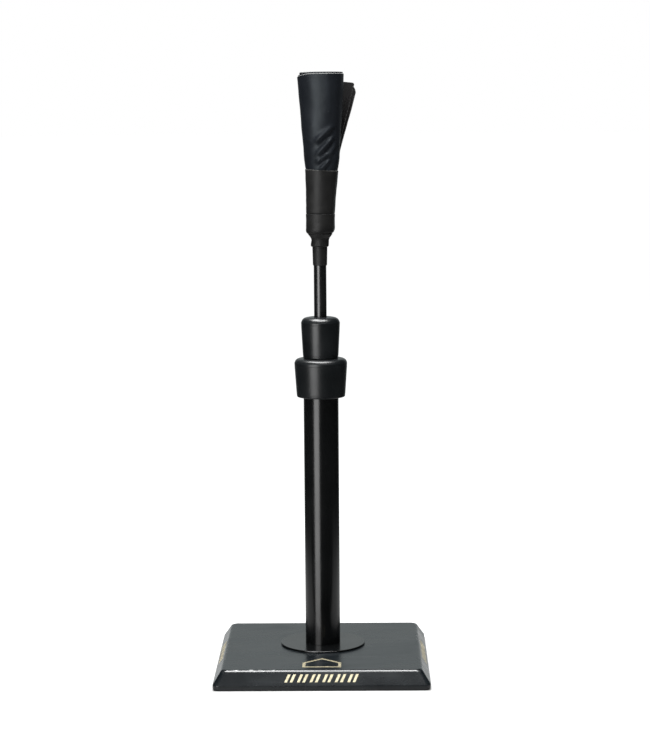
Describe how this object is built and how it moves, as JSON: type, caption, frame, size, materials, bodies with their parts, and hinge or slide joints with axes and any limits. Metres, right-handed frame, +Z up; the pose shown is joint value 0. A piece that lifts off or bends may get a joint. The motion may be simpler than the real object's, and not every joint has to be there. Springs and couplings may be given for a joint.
{
  "type": "batting tee",
  "caption": "Telescoping batting tee: weighted square base, friction collars on a three-stage stem, and a rolled rubber ball rest on a flexible neck.",
  "frame": {"origin": "centre of the base's footprint, on the floor", "axes": "+Z up along the stem; -Y is the base's front edge, so azimuth 0 looks at the front; +X to the right. The stem stands 12 mm behind the origin."},
  "size_m": [0.268, 0.268, 0.752],
  "materials": {
    "base_plastic": "gloss black moulded plastic",
    "ballast_steel": "dull mill scale",
    "cover_plastic": "plain black moulded plastic",
    "foot_rubber": "matte",
    "zinc_steel": "bright zinc plate",
    "black_paint": "gloss black powder coat",
    "nylon": "natural nylon",
    "grip_rubber": "matte",
    "collar_rubber": "semi-gloss moulded",
    "wrap_rubber": "matte charcoal",
    "sheet_rubber": "satin sheet rubber"
  },
  "bodies": {
    "base": {"base_shell": "base_plastic", "ballast_plate": "ballast_steel", "bottom_cover": "cover_plastic", "foot_front_left": "foot_rubber", "foot_front_right": "foot_rubber", "foot_back_left": "foot_rubber", "foot_back_right": "foot_rubber", "cover_screw_front_left": "zinc_steel", "cover_screw_front_right": "zinc_steel", "cover_screw_back_left": "zinc_steel", "cover_screw_back_right": "zinc_steel", "stem_bolt": "zinc_steel", "lock_washer": "zinc_steel", "flat_washer": "zinc_steel", "flange_disc": "black_paint", "tube_foot_plug": "zinc_steel", "outer_tube": "black_paint", "lower_bushing": "nylon", "lower_grip_ring": "grip_rubber", "lower_collar": "collar_rubber"},
    "middle_guide": {"middle_tube_guide": "nylon"},
    "middle_stage": {"middle_tube": "black_paint", "middle_tube_clip_lower": "zinc_steel", "middle_tube_clip_upper": "zinc_steel", "upper_bushing": "nylon", "upper_grip_ring": "grip_rubber", "upper_collar": "collar_rubber"},
    "rod_slider": {"rod_guide": "nylon"},
    "rod_stage": {"rod": "black_paint", "rod_clip_lower": "zinc_steel", "rod_clip_upper": "zinc_steel", "rod_bottom_plug": "cover_plastic", "rod_top_plug": "cover_plastic", "neck_sleeve": "wrap_rubber", "flexible_neck": "wrap_rubber"},
    "ball_rest": {"rest_core": "wrap_rubber", "rolled_sheet": "sheet_rubber", "lower_wrap": "wrap_rubber", "upper_wrap": "wrap_rubber"}
  },
  "joints": [
    {"name": "lower_slide", "type": "slide", "parent": "base", "child": "middle_guide", "axis": [0, 0, 1], "range_m": [0, 0.22]},
    {"name": "middle_swivel", "type": "hinge", "parent": "middle_guide", "child": "middle_stage", "pos_m": [0, 0.012, 0.3], "axis": [0, 0, 1], "continuous": true},
    {"name": "upper_slide", "type": "slide", "parent": "middle_stage", "child": "rod_slider", "axis": [0, 0, 1], "range_m": [-0.06, 0.18]},
    {"name": "rod_swivel", "type": "hinge", "parent": "rod_slider", "child": "rod_stage", "pos_m": [0, 0.012, 0.4], "axis": [0, 0, 1], "continuous": true},
    {"name": "neck_flex", "type": "hinge", "parent": "rod_stage", "child": "ball_rest", "pos_m": [0, 0.012, 0.543], "axis": [0, 1, 0], "range_deg": [-30, 30], "stiffness_Nm_per_rad": 12, "deforming": ["flexible_neck"]}
  ]
}
